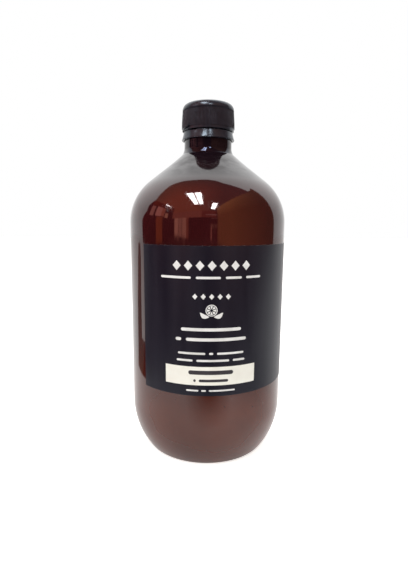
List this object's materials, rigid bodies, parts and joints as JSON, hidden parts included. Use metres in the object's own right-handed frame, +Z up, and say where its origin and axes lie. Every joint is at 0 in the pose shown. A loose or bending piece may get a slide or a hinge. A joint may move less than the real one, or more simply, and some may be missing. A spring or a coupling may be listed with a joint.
{
  "type": "hand soap refill bottle",
  "caption": "Round-shouldered amber plastic refill bottle of liquid hand soap, with a ribbed black screw cap, a tamper band and a dark wrap-around label with a pale panel.",
  "frame": {"origin": "on the bottle's axis at the level of the surface that it stands on", "axes": "+Z up along the bottle's axis, -Y towards the middle of the label's front"},
  "size_m": [0.0924, 0.0931, 0.2043],
  "materials": {
    "amber_pet": "glossy, deep amber",
    "liquid_soap": "liquid",
    "black_polypropylene": "satin",
    "white_foam": "matt foam",
    "black_film": "satin film",
    "cream_film": "satin film"
  },
  "bodies": {
    "bottle": {"bottle": "amber_pet", "soap_fill": "liquid_soap", "tamper_band": "black_polypropylene", "label": "black_film", "refill_panel": "cream_film"},
    "liner": {"cap_liner": "white_foam"},
    "cap": {"cap": "black_polypropylene"}
  },
  "joints": [
    {"name": "cap_rise", "type": "slide", "parent": "bottle", "child": "liner", "axis": [0, 0, 1], "range_m": [0, 0.0053]},
    {"name": "cap_turn", "type": "hinge", "parent": "liner", "child": "cap", "pos_m": [0, 0, 0.1891], "axis": [0, 0, 1], "range_deg": [0, 450]}
  ],
  "couplings": [
    {"joint": "cap_rise", "follows": "cap_turn", "m_per_rad": 0.00067322}
  ]
}
